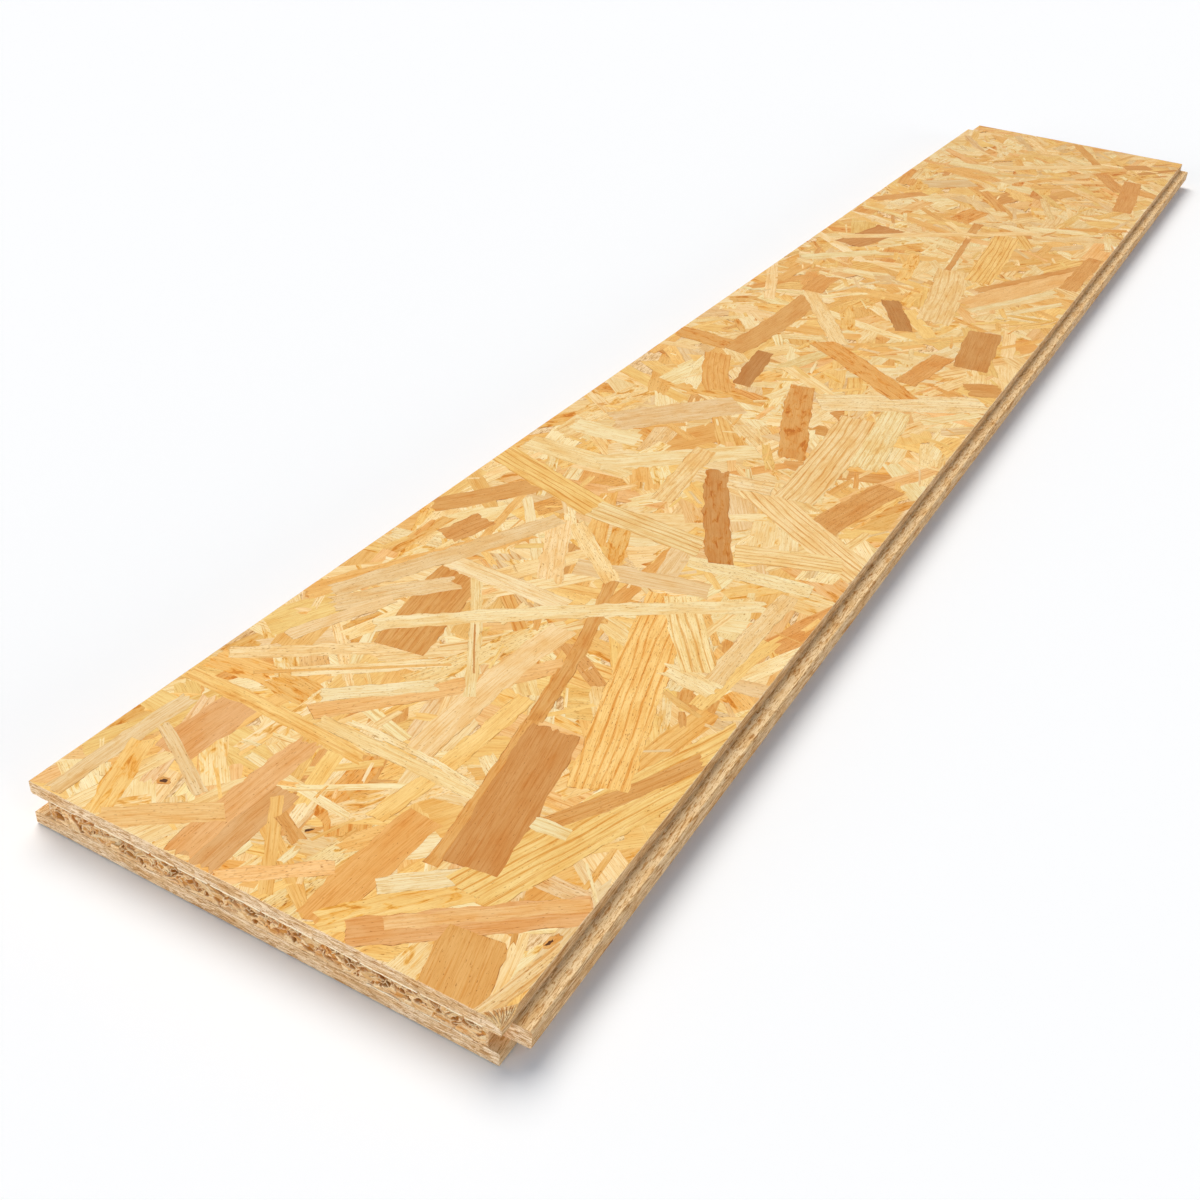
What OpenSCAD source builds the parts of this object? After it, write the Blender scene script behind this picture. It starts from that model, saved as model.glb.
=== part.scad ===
// Tongue and groove board of oriented strand board (OSB), lying flat, best face up.
//
// X runs along the board, Y across it and Z up. The origin is at the middle of the underside.
// The tongue runs along the -Y edge and the groove along the +Y edge. The -X end has its core
// trimmed back between the two skins and coped clear of the tongue. The +X end is a square cut.

/* [Board] */
// Thickness of the board
board_t = 22; // [18:1:28]
// Width of the face, without the tongue
face_w = 215; // [150:5:675]
// Length of the face
board_l = 1265; // [600:5:2500]

/* [Tongue and groove] */
// Thickness of the upper lip, from the face to the groove
upper_lip = 6.4; // [5:0.1:7]
// Thickness of the lower lip, from the underside to the groove
lower_lip = 6.6; // [5:0.1:7]
// How far the tongue stands out past the upper edge
tongue_reach = 7.5; // [6:0.1:12]
// Play between the tongue and a groove, over its whole height
tongue_play = 0.4; // [0.2:0.1:0.8]
// Room between the tongue's nose and the bottom of a groove
nose_room = 0.5; // [0.2:0.1:2]
// How far the lower edge stands back, so that the upper edges close first
lower_gap = 0.5; // [0:0.1:1]
// Chamfer on the two arrises of the tongue's nose
nose_chamfer = 0.8; // [0.3:0.1:1.5]
// Chamfer inside the mouth of the groove
mouth_chamfer = 0.8; // [0.3:0.1:1.5]

/* [Near end] */
// How far the core stands back from the ends of the two skins
core_setback = 0.8; // [0.5:0.1:4]
// Length of tongue that the cope takes off at the near end
cope_l = 7; // [5:0.1:20]
// How far the cope reaches into the core, measured from the upper edge
cope_depth = 5.5; // [2:0.1:12]
// Length of the broken corner along the tongue edge
chip_l = 10; // [5:0.5:20]
// Width of the broken corner along the end
chip_w = 8.5; // [5:0.5:20]
// How deep the break is at the very corner
chip_h = 3.5; // [1:0.1:4.5]

/* [Far end] */
// Length of the notch in the upper lip over the groove
notch_l = 25; // [10:1:60]
// Width of the notch, from the groove edge
notch_w = 5; // [2:0.1:6]

/* [Hidden] */
// How far a cutter runs past what it cuts
over = 1;
// Half of the face, from the middle out
half_w = face_w / 2;
half_l = board_l / 2;
// The groove's lower and upper cheeks, and its depth
groove_z0 = lower_lip;
groove_z1 = board_t - upper_lip;
groove_depth = tongue_reach + nose_room;
// The tongue is centred on the groove, less the play
tongue_z0 = groove_z0 + tongue_play / 2;
tongue_z1 = groove_z1 - tongue_play / 2;

// Section across the board: x here is the board's Y, y here is its Z.
module section() {
    tongue_y = -half_w - tongue_reach;
    groove_y = half_w - groove_depth;
    polygon([
        // Underside
        [-half_w + lower_gap, 0],
        [half_w, 0],
        // Groove, from the lower lip round to the upper one
        [half_w, groove_z0 - mouth_chamfer],
        [half_w - mouth_chamfer, groove_z0],
        [groove_y, groove_z0],
        [groove_y, groove_z1],
        [half_w - mouth_chamfer, groove_z1],
        [half_w, groove_z1 + mouth_chamfer],
        // Face
        [half_w, board_t],
        [-half_w, board_t],
        // Tongue, from its upper shoulder round the nose
        [-half_w, tongue_z1],
        [tongue_y + nose_chamfer, tongue_z1],
        [tongue_y, tongue_z1 - nose_chamfer],
        [tongue_y, tongue_z0 + nose_chamfer],
        [tongue_y + nose_chamfer, tongue_z0],
        [-half_w + lower_gap, tongue_z0],
    ]);
}

// The section run along the whole board
module milled_strip() {
    translate([-half_l, 0, 0])
        rotate([90, 0, 90])
            linear_extrude(board_l)
                section();
}

// Cuts between the two skins at the near end, as high as the groove
module core_slot(from_y, to_y, depth) {
    translate([-half_l - over, from_y, groove_z0])
        cube([depth + over, to_y - from_y, groove_z1 - groove_z0]);
}

// The core stands back behind the skins right across the end
module end_setback() {
    core_slot(-half_w - tongue_reach - over, half_w + over, core_setback);
}

// The tongue stops short of the end, and the core behind it is cut back too
module tongue_cope() {
    core_slot(-half_w - tongue_reach - over, -half_w + cope_depth, cope_l);
}

// Notch in the upper lip at the far end of the groove
module lip_notch() {
    translate([half_l - notch_l, half_w - notch_w, groove_z1 - over])
        cube([notch_l + over, notch_w + over, upper_lip + 2 * over]);
}

// The face's near corner over the tongue is broken off along a slanting plane, which leaves
// the end chip_w from the corner and the edge chip_l from it, and is chip_h deep at the corner.
module corner_chip() {
    translate([-half_l, -half_w, board_t])
        multmatrix([
            [1, 0, 0, 0],
            [0, 1, 0, 0],
            [chip_h / chip_l, chip_h / chip_w, 1, -chip_h],
        ])
            translate([-over, -over, 0])
                cube([chip_l + over, chip_w + over, board_t]);
}

module board() {
    color("burlywood")
        difference() {
            milled_strip();
            end_setback();
            tongue_cope();
            lip_notch();
            corner_chip();
        }
}

board();
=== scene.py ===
import math

import bmesh
import bpy
import numpy as np
from mathutils import Matrix, Vector


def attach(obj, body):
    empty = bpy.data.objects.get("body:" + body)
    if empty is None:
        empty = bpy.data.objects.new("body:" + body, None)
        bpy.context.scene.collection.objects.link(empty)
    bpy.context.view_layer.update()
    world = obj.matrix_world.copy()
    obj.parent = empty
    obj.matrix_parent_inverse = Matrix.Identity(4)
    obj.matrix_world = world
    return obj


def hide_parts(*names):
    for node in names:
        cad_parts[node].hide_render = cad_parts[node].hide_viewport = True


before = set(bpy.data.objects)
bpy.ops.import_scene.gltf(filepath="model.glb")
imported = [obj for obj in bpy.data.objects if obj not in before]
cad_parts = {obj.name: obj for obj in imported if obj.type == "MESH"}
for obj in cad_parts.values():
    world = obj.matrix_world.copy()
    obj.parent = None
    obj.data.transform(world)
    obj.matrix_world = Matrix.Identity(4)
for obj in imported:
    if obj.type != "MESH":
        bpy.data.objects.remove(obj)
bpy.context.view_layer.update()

# A tongue and groove board of oriented strand board. The CAD solid gives every size. Here it gets
# its wood: a milled body, a skin of separate strands on both faces, and an open core at the near end.
#
# Shapes are worked out in millimetres. On a face, "along" runs from the near end (-X) to the far
# end, and "across" runs from the groove edge (+Y) to the tongue edge.

MM = 0.001

# -------- sizes read from the CAD solid
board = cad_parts["board"]
corners = np.array([board.matrix_world @ vertex.co for vertex in board.data.vertices]) / MM
x, y, z = corners.T
SAME = 0.01  # corners this close lie in one plane

END_NEAR, END_FAR = x.min(), x.max()
BOARD_L = END_FAR - END_NEAR
BOARD_T = z.max()
on_face = z > BOARD_T - SAME
EDGE_GROOVE, EDGE_TONGUE = y[on_face].max(), y[on_face].min()
FACE_W = EDGE_GROOVE - EDGE_TONGUE
# The lower edge on the tongue's side stands back a little from the upper one
UNDER_W = EDGE_GROOVE - y[z < SAME].min()

# The broken corner: how far it reaches along the tongue edge, along the end and down
CHIP_ALONG = x[on_face & (y < EDGE_TONGUE + SAME)].min() - END_NEAR
CHIP_ACROSS = y[on_face & (x < END_NEAR + SAME)].min() - EDGE_TONGUE
below_corner = (abs(x - END_NEAR) < SAME) & (abs(y - EDGE_TONGUE) < SAME)
CHIP_DOWN = BOARD_T - z[below_corner].max()
# The notch in the upper lip at the far end
NOTCH_ALONG = END_FAR - x[on_face & (y > EDGE_GROOVE - SAME)].max()
NOTCH_ACROSS = EDGE_GROOVE - y[on_face & (x > END_FAR - SAME)].max()

# The core's end, which stands back between the two skins, though less far than the cope reaches
SETBACK_LIMIT = 4
stands_back = (x > END_NEAR + SAME) & (x < END_NEAR + SETBACK_LIMIT)
CORE_SETBACK = x[stands_back].min() - END_NEAR
on_core = stands_back & (x < END_NEAR + CORE_SETBACK + SAME)
CORE_Z0, CORE_Z1 = z[on_core].min(), z[on_core].max()
CORE_FROM, CORE_TO = EDGE_GROOVE - y[on_core].max(), EDGE_GROOVE - y[on_core].min()

# -------- sizes of the wood
RELIEF = 0.5  # the strands of a face lie between this depth and the face itself
FLUSH = 0.05  # how far the strands stop short of the milled edges
RIM = 0.4  # width of the softened rim round a strand
RIM_DROP = 0.05  # how far the rim falls
ARRIS = 0.4  # width of the frayed arrises of the milled edges
RECESS = 8.0  # how deep the end core is modelled
STUB = 1.0  # solid wood left at either side of the end core
OPEN_TOP = CORE_Z1 + 0.6  # the core is torn open a little way up into the upper skin
FACE_SEED, UNDER_SEED, CORE_SEED = 11, 23, 5

# -------- colours


def srgb(red, green, blue):
    """The linear colour of an sRGB one given in 0 to 255."""
    parts = [value / 255 for value in (red, green, blue)]
    return [part / 12.92 if part < 0.04 else ((part + 0.055) / 1.055) ** 2.4 for part in parts]


# Painted shade: how much less red, green and blue the strands are at the far end, as if the light fell
# off along the board
FAR_END_SHADE = np.array((0.17, 0.21, 0.26))
TONES = {
    "pale": srgb(255, 230, 174),
    "cream": srgb(253, 220, 158),
    "straw": srgb(251, 208, 128),
    "honey": srgb(245, 193, 113),
    "peach": srgb(249, 200, 132),
    "rose": srgb(235, 180, 116),
    "ash": srgb(243, 208, 152),
    "amber": srgb(238, 178, 99),
    "tan": srgb(229, 169, 95),
    "brown": srgb(214, 153, 84),
    "dusk": srgb(203, 143, 76),
    "dark": srgb(92, 56, 30),
}

FRAYED_HIGHLIGHT = srgb(254, 236, 204)  # the pale of an arris: partly torn wood, partly a painted highlight along the edge
FRAY_HIGHLIGHT_SHARE = 0.65  # how much of that colour the cut edges of the strands have

# -------- node trees


class Tree:
    """The node tree of a material or a world, with a short call for each kind of node used here."""

    def __init__(self, owner):
        owner.use_nodes = True
        self.owner = owner
        self.nodes = owner.node_tree.nodes
        self.links = owner.node_tree.links

    def put(self, socket, value):
        if isinstance(value, bpy.types.NodeSocket):
            self.links.new(value, socket)
        else:
            socket.default_value = value

    def new(self, kind, *values):
        """A new node of this kind, with its first inputs filled."""
        node = self.nodes.new("ShaderNode" + kind)
        for socket, value in zip(node.inputs, values):
            self.put(socket, value)
        return node

    def attribute(self, name, output="Vector"):
        node = self.new("Attribute")
        node.attribute_name = name
        return node.outputs[output]

    def math(self, operation, *values):
        node = self.new("Math", *values)
        node.operation = operation
        return node.outputs[0]

    def times(self, first, second):
        return self.math("MULTIPLY", first, second)

    def split(self, vector):
        return self.new("SeparateXYZ", vector).outputs

    def join(self, *values):
        return self.new("CombineXYZ", *values).outputs[0]

    def place(self):
        """Where a point is on the board, in millimetres."""
        place = self.new("TexCoord").outputs["Object"]
        return [self.math("DIVIDE", axis, MM) for axis in self.split(place)]

    def noise(self, place, scales, detail=2.0, roughness=0.5, distortion=0.0):
        """Noise about 0.5. A small scale draws it out along that axis."""
        scaled = [self.times(axis, scale) for axis, scale in zip(place, scales)]
        node = self.new("TexNoise", self.join(*scaled))
        node.inputs["Scale"].default_value = 1.0
        node.inputs["Detail"].default_value = detail
        node.inputs["Roughness"].default_value = roughness
        node.inputs["Distortion"].default_value = distortion
        return node.outputs["Fac"]

    def random(self, *place):
        return self.new("TexWhiteNoise", self.join(*place)).outputs["Value"]

    def ramp(self, value, low, high):
        """0 below low, 1 above high and smooth between, or the other way round."""
        ends = (0.0, 1.0) if low < high else (1.0, 0.0)
        node = self.new("MapRange", value, min(low, high), max(low, high), *ends)
        node.interpolation_type = "SMOOTHSTEP"
        return node.outputs["Result"]

    def mix(self, share, first, second, blend="MIX"):
        node = self.new("Mix")
        node.data_type = "RGBA"
        node.blend_type = blend
        self.put(node.inputs["Factor"], share)
        for socket, value in zip((node.inputs[6], node.inputs[7]), (first, second)):
            self.put(socket, value if isinstance(value, bpy.types.NodeSocket) else (*value, 1.0))
        return node.outputs[2]

    def tinted(self, colour, *layers):
        """The colour, multiplied by the factors of each layer as far as the layer's share says."""
        for share, factors in layers:
            colour = self.mix(share, colour, factors, "MULTIPLY")
        return colour

    def finish(self, colour, height, bump_mm, roughness):
        """Sets the surface of dull wood, and returns its material."""
        bump = self.new("Bump")
        bump.inputs["Distance"].default_value = bump_mm * MM
        self.put(bump.inputs["Height"], height)
        surface = self.nodes["Principled BSDF"].inputs
        self.put(surface["Base Color"], colour)
        self.put(surface["Roughness"], roughness)
        self.put(surface["Normal"], bump.outputs["Normal"])
        surface["Specular IOR Level"].default_value = 0.08
        return self.owner


def strand_wood(name):
    """Pressed pine strands: each carries its own tone, grain direction and figure on its mesh."""
    t = Tree(bpy.data.materials.new(name))
    tone = t.attribute("tone", "Color")
    rim = t.attribute("rim", "Fac")
    u, v, seed = t.split(t.attribute("grain"))
    half_length, _, bend = t.split(t.attribute("shape"))
    stripes, spacing, mottle = t.split(t.attribute("figure"))
    reach = t.math("DIVIDE", u, half_length)
    bow = t.times(bend, t.times(reach, reach))
    across = t.math("SUBTRACT", v, bow)

    place = (u, across, seed)
    fibres = t.noise(place, (0.045, 1.7, 1.0), 4.0, 0.65)
    threads = t.noise(place, (0.22, 5.0, 1.3), 2.0, 0.6)
    clouds = t.noise(place, (0.045, 0.12, 2.1))
    patches = t.noise(place, (0.09, 0.26, 1.7), 4.0, 0.6, 0.8)
    flecks = t.noise(place, (0.50, 2.3, 2.3), 1.0)
    wander = t.noise(place, (0.018, 0.10, 3.1))
    gap_and_shade_patches = t.noise((u, v, seed), (0.14, 0.5, 5.3))
    chance = t.random(seed, 1.0, 2.0)
    fleck_share = t.times(t.times(chance, chance), 0.10)

    ring = t.math("ADD", t.math("DIVIDE", across, spacing), t.times(wander, 1.8))
    wave = t.math("SINE", t.times(ring, 2 * math.pi))
    broken = t.ramp(fibres, 0.28, 0.52)
    stripe = t.times(t.ramp(wave, 0.50, 0.97), t.times(stripes, broken))

    colour = t.tinted(
        tone,
        (t.ramp(clouds, 0.52, 0.36), (1.03, 1.07, 1.15)),
        (t.ramp(clouds, 0.50, 0.68), (0.97, 0.88, 0.74)),
        (t.ramp(fibres, 0.50, 0.38), (1.03, 1.06, 1.14)),
        (t.ramp(fibres, 0.50, 0.64), (0.93, 0.80, 0.61)),
        (t.ramp(threads, 0.44, 0.30), (0.84, 0.68, 0.46)),
        (stripe, (0.84, 0.60, 0.34)),
        (t.times(mottle, t.ramp(patches, 0.49, 0.62)), (0.96, 0.77, 0.42)),
        (t.ramp(t.math("ADD", flecks, fleck_share), 0.72, 0.79), (0.60, 0.40, 0.22)),
        (t.times(mottle, t.ramp(patches, 0.58, 0.66)), (0.80, 0.62, 0.40)),
        # A darker rim in patches round each strand: partly the dark gaps between strands, partly
        # painted shade where a strand's edge would cast its shadow
        (t.times(rim, t.ramp(gap_and_shade_patches, 0.49, 0.58)), (0.52, 0.33, 0.17)),
    )
    height = t.math("ADD", fibres, t.times(threads, 0.5))
    height = t.math("SUBTRACT", height, t.times(stripe, 0.4))
    return t.finish(colour, height, 0.10, t.math("ADD", 0.45, t.times(threads, 0.25)))


def milled_wood(name, run, tone, streak, flat=False):
    """A milled face of the board: pressed strands cut through, in thin wavy layers.

    run is the axis that the layers run along, and streak how long the streaks are, in millimetres.
    A flat face is cut along the layers, which show as long ripples.
    """
    layer_mm = 0.8  # thickness of a layer
    t = Tree(bpy.data.materials.new(name))
    x, y, z = t.place()
    along, across = (x, y) if run == "x" else (y, x)
    if flat:
        roll = t.noise((along, across, z), (0.022, 0.16, 0.1), 3.0, 0.55)
        lift = t.math("ADD", t.times(roll, 9.0), t.times(across, 0.15))
    else:
        roll = t.noise((x, y, z), (0.016, 0.035, 0.05))
        waves = t.noise((x, y, z), (0.07, 0.16, 0.3))
        lift = t.math("ADD", t.times(roll, 7.0), t.times(waves, 2.2))
        lift = t.math("ADD", lift, z)
    level = t.math("DIVIDE", lift, layer_mm)
    layer = t.math("FLOOR", level)
    within = t.math("FRACT", level)
    seam = t.math("MINIMUM", within, t.math("SUBTRACT", 1.0, within))

    shift = t.times(t.random(layer, 3.0, 1.0), 60.0)
    cell = t.math("FLOOR", t.math("DIVIDE", t.math("ADD", along, shift), streak * 1.4))
    lot = t.random(layer, cell, 2.0)
    place = (along, across if flat else z, across)
    fine = t.noise(place, (2.6 / streak, 2.6, 0.35), 4.0, 0.65)
    dashes = t.noise(place, (8.0 / streak, 2.1, 0.7), 2.0, 0.6)
    gaps = t.noise(place, (4.0 / streak, 0.9, 0.5))
    pores = t.noise(place, (1.5, 2.4, 2.0), 1.0)
    drift = t.noise(place, (0.06, 0.15, 0.1))
    marks = t.noise(place, (2.2 / streak, 0.8, 0.5), 3.0, 0.6, 0.6)
    open_seam = t.times(t.ramp(seam, 0.20, 0.04), t.ramp(gaps, 0.42, 0.58))
    hole = t.ramp(dashes, 0.64, 0.73)

    spread = 0.25 if flat else 1.0
    colour = t.tinted(
        tone,
        (t.times(t.ramp(lot, 0.45, 0.0), spread), (1.06, 1.09, 1.15)),
        (t.times(t.ramp(lot, 0.55, 1.0), spread), (0.88, 0.78, 0.64)),
        (t.ramp(drift, 0.50, 0.64), (0.92, 0.83, 0.70)),
        (t.ramp(fine, 0.50, 0.38), (1.06, 1.10, 1.17)),
        (t.ramp(fine, 0.50, 0.62), (0.90, 0.83, 0.73) if flat else (0.80, 0.69, 0.56)),
        (open_seam, (0.70, 0.53, 0.36)),
        (t.ramp(pores, 0.60, 0.70), (0.78, 0.66, 0.53)),
        (t.ramp(marks, 0.54, 0.61), (0.74, 0.58, 0.41)),
        (hole, (0.50, 0.34, 0.20)),
    )
    height = t.math("SUBTRACT", t.times(fine, 0.6), t.math("ADD", open_seam, hole))
    return t.finish(colour, height, 0.05 if flat else 0.15, 0.75)


def arris_wood():
    """The frayed arrises of the milling, paler than the faces beside them: partly frayed wood, partly a
    painted highlight.
    """
    t = Tree(bpy.data.materials.new("frayed_arris_highlight"))
    fray = t.noise(t.place(), (0.35, 0.35, 1.2), 3.0, 0.6)
    colour = t.mix(t.ramp(fray, 0.40, 0.62), srgb(253, 234, 202), srgb(228, 190, 142))
    return t.finish(colour, fray, 0.05, 0.75)


def core_wood():
    """The open core at the near end: pale torn wood with painted highlights on its flakes, and
    orange-brown hollows painted darker with depth.
    """
    t = Tree(bpy.data.materials.new("open_core"))
    tone = t.attribute("tone", "Color")
    rim = t.attribute("rim", "Fac")
    depth = t.attribute("depth", "Fac")
    place = t.place()
    fine = t.noise(place, (0.5, 0.30, 2.4), 4.0, 0.65)
    pores = t.noise(place, (1.6, 1.2, 2.6), 1.0)
    colour = t.tinted(
        tone,
        (t.ramp(fine, 0.50, 0.62), (0.88, 0.78, 0.64)),
        (t.ramp(fine, 0.50, 0.38), (1.04, 1.07, 1.11)),
        (t.ramp(pores, 0.62, 0.70), (0.72, 0.55, 0.38)),
    )
    # Orange-brown inside the hollows and darker deeper in: partly the wood's colour there, partly
    # painted shade
    colour = t.mix(t.ramp(depth, 0.02, 0.20), colour, srgb(214, 151, 76))
    colour = t.mix(t.ramp(depth, 0.30, 0.80), colour, srgb(150, 96, 42))
    # Pale towards cream along the rims: a painted highlight on the flakes' upper edges, and the pale
    # ring round each hollow and on the curls
    colour = t.mix(t.times(rim, 0.85), colour, srgb(255, 231, 190))
    return t.finish(colour, fine, 0.06, 0.7)


# -------- meshes


def add_object(name, data):
    obj = bpy.data.objects.new(name, data)
    bpy.context.collection.objects.link(obj)
    return obj


class Mesh:
    """Gathers the points and faces of many closed shapes, with a value of each attribute a point."""

    def __init__(self):
        self.points = []
        self.faces = []
        self.values = {}

    def add(self, points, faces, **values):
        """Adds one shape. A value is one row for all the points, or one row a point."""
        start = len(self.points)
        self.points.extend(points)
        self.faces.extend([[start + index for index in face] for face in faces])
        for name, value in values.items():
            rows = np.broadcast_to(value, (len(points), np.shape(value)[-1]))
            self.values.setdefault(name, []).append(rows)

    def build(self, name):
        mesh = bpy.data.meshes.new(name)
        mesh.from_pydata((np.array(self.points) * MM).tolist(), [], self.faces)
        kinds = {1: ("FLOAT", "value"), 3: ("FLOAT_VECTOR", "vector"), 4: ("FLOAT_COLOR", "color")}
        for attribute, rows in self.values.items():
            table = np.vstack(rows).astype(np.float32)
            kind, field = kinds[table.shape[1]]
            layer = mesh.attributes.new(attribute, kind, "POINT")
            layer.data.foreach_set(field, table.ravel())
        mesh.validate()
        shape = bmesh.new()
        shape.from_mesh(mesh)
        bmesh.ops.recalc_face_normals(shape, faces=shape.faces)
        shape.to_mesh(mesh)
        shape.free()
        return add_object(name, mesh)


def wall(first, second):
    """The faces between two rings of points, which are given by their numbers."""
    return np.stack([np.roll(first, -1), first, second, np.roll(second, -1)], axis=1).tolist()


def tube(rings, count):
    """The faces of a closed shape made of so many rings of so many points each."""
    number = np.arange(rings * count).reshape(rings, count)
    faces = [number[0].tolist(), number[-1][::-1].tolist()]
    for first, second in zip(number, number[1:]):
        faces += wall(first, second)
    return faces


def ripple(rng, places, wavelength):
    """A smooth random wave through the places, about 1 high at most."""
    total = np.zeros(len(places))
    for share, octave in ((0.6, 1.0), (0.4, 2.3)):
        phase = rng.uniform(0, 2 * math.pi)
        stretch = rng.uniform(0.8, 1.25)
        total += share * np.sin(places * 2 * math.pi * octave * stretch / wavelength + phase)
    return total


def turned_back(x, y, turn):
    """Where points are in a frame that is turned by this angle."""
    c, s = math.cos(turn), math.sin(turn)
    return x * c + y * s, y * c - x * s


def clipped(outline, normal, limit):
    """The part of an outline on the side where normal . point <= limit."""
    result = []
    sides = outline @ np.array(normal) - limit
    for index in range(len(outline)):
        here, there = outline[index - 1], outline[index]
        a, b = sides[index - 1], sides[index]
        if (a > 0) != (b > 0):
            result.append(here + (there - here) * (a / (a - b)))
        if b <= 0:
            result.append(there)
    return np.array(result).reshape(-1, 2)


def cleaned(outline):
    """The outline without points that all but repeat the one before."""
    least_step = 0.05
    steps = np.hypot(*(outline - np.roll(outline, 1, axis=0)).T)
    return outline[steps > least_step]


def cross(first, second):
    """The area between two flat vectors, positive where the second is to the left of the first."""
    return first[..., 0] * second[..., 1] - first[..., 1] * second[..., 0]


def area(outline):
    return 0.5 * cross(outline, np.roll(outline, -1, axis=0)).sum()


def shrunk(outline, by):
    """The outline with every point moved inwards, for an outline that runs anticlockwise."""
    before = outline - np.roll(outline, 1, axis=0)
    after = np.roll(outline, -1, axis=0) - outline
    before /= np.linalg.norm(before, axis=1)[:, None]
    after /= np.linalg.norm(after, axis=1)[:, None]
    inward = (before + after)[:, ::-1] * (-1, 1)
    length = np.linalg.norm(inward, axis=1)[:, None]
    return outline + by * inward / np.maximum(length, 0.6)


def crosses_itself(ring):
    """Whether any two sides of a closed ring cross."""
    side = np.roll(ring, -1, axis=0) - ring
    first, second = side[:, None], side[None, :]
    gap = ring[None, :] - ring[:, None]
    turn = cross(first, second)
    turn[np.abs(turn) < 1e-9] = np.inf  # sides in parallel don't cross
    shares = np.stack([cross(gap, second), cross(gap, first)]) / turn
    return np.all(np.abs(shares - 0.5) < 0.5 - 1e-6, axis=0).any()


def face_parts(outline, width, inset, upper):
    """The outline cut to the upper side or the underside, in two parts where it meets the notch."""
    cuts = [((-1, 0), -inset), ((1, 0), BOARD_L - inset), ((0, -1), -inset), ((0, 1), width - inset)]
    if upper:
        line = (-1 / CHIP_ALONG, 1 / CHIP_ACROSS)
        cuts.append((line, FACE_W / CHIP_ACROSS - 1 - inset * math.hypot(*line)))
    part = outline
    for normal, limit in cuts:
        part = clipped(part, normal, limit)
    if len(part) < 3:
        return []
    reaches_notch = part[:, 0].max() > BOARD_L - NOTCH_ALONG and part[:, 1].min() < NOTCH_ACROSS
    if not (upper and reaches_notch):
        return [part]
    beside = clipped(part, (0, -1), -NOTCH_ACROSS - inset)
    short = clipped(part, (0, 1), NOTCH_ACROSS + inset)
    short = clipped(short, (1, 0), BOARD_L - NOTCH_ALONG - inset)
    return [piece for piece in (beside, short) if len(piece) > 2]


# -------- strands


class Strand:
    """One strand: its middle, turn and size on a face, and how it looks.

    Its outline has a point about every step along it. A neat of 0.3 gives straighter ends than 1.
    """

    def __init__(self, rng, along, across, turn, length, width, tone, figure, step, neat=1.0):
        self.neat = neat
        self.along, self.across = along, across
        self.turn = math.radians(turn)
        self.length, self.width = length, width
        self.bend = rng.normal(0, 0.012) * length
        self.seed = rng.uniform(0, 400)
        self.tone = np.array(TONES[tone]) * rng.normal(1.0, 0.025) * rng.normal(1.0, 0.01, 3)
        # Painted shade: the strands grow darker towards the far end
        self.tone *= 1 - FAR_END_SHADE * along / BOARD_L
        strengths = {
            "plain": (rng.uniform(0.0, 0.35), rng.uniform(1.6, 4.0), rng.uniform(0.0, 0.3)),
            "striped": (0.95, rng.uniform(3.4, 4.2), 0.2),
            "ringed": (0.55, rng.uniform(2.6, 4.5), 0.35),
            "mottled": (0.15, 3.5, 1.0),
            "knot": (0.0, 3.5, 0.5),
        }
        self.figure = strengths[figure]
        self.outline = self.blot(rng) if figure == "knot" else self.shape(rng, step)

    def blot(self, rng):
        """The outline of a knot, anticlockwise: an uneven oval."""
        angles = np.linspace(0, 2 * math.pi, 14, endpoint=False)
        reach = 1 + rng.uniform(-0.22, 0.22, 14)
        x, y = self.length / 2 * reach * np.cos(angles), self.width / 2 * reach * np.sin(angles)
        return np.column_stack([x, y])

    def shape(self, rng, step):
        """The outline, anticlockwise in the strand's own frame: wavy sides and torn ends."""
        half = self.length / 2
        count = max(2, round(self.length / step))
        u = np.linspace(-half, half, count + 1)
        slim = 1 - self.neat * rng.uniform(0.0, 0.35) * (np.abs(u) / half) ** 3
        rough = min(0.7, 0.05 * self.width)
        jagged = min(0.28, 0.04 * self.width)
        lower, upper = [
            side * self.width / 2 * slim
            + rough * ripple(rng, u, wavelength)
            + rng.normal(0, jagged, count + 1)
            for side, wavelength in ((-1, 30), (1, 37))
        ]
        ends = []
        for side in (1, -1):
            teeth = max(1, round(self.width / 2.5))
            v = np.linspace(-0.5, 0.5, teeth + 2)[1:-1] * self.width * slim[0] * 0.8
            torn = rng.uniform(-1, 0.4, teeth) * rng.choice([0.25, 0.7, 1.8, 3.4])
            torn = np.maximum(torn, -0.35 * self.length)
            ends.append(np.column_stack([side * (half + torn), side * v]))
        sides = np.column_stack([u, lower]), np.column_stack([u, upper])[::-1]
        outline = np.vstack([sides[0], ends[0], sides[1], ends[1]])
        most = 0.2 * self.length / self.width  # a stronger skew would fold the end over
        skews = np.clip(rng.normal(0, 0.28 * self.neat, 2), -most, most)
        reach = outline[:, 0] / half
        skew = np.where(reach > 0, skews[0] * reach**4, skews[1] * reach**4)
        outline[:, 0] += skew * outline[:, 1]
        outline[:, 1] += self.bend * reach**2
        return outline

    def placed(self):
        """The outline on the face."""
        c, s = math.cos(self.turn), math.sin(self.turn)
        turned = self.outline @ np.array([[c, s], [-s, c]])
        return turned + np.array([self.along, self.across])

    def own_frame(self, along, across):
        """Where points of the face are in the strand's own frame."""
        return turned_back(along - self.along, across - self.across, self.turn)

    def covers(self, along, across, more):
        u, v = self.own_frame(along, across)
        bow = self.bend * (2 * u / self.length) ** 2
        inside = np.abs(u) < self.length / 2 + more
        return inside & (np.abs(v - bow) < self.width / 2 + more)


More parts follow.
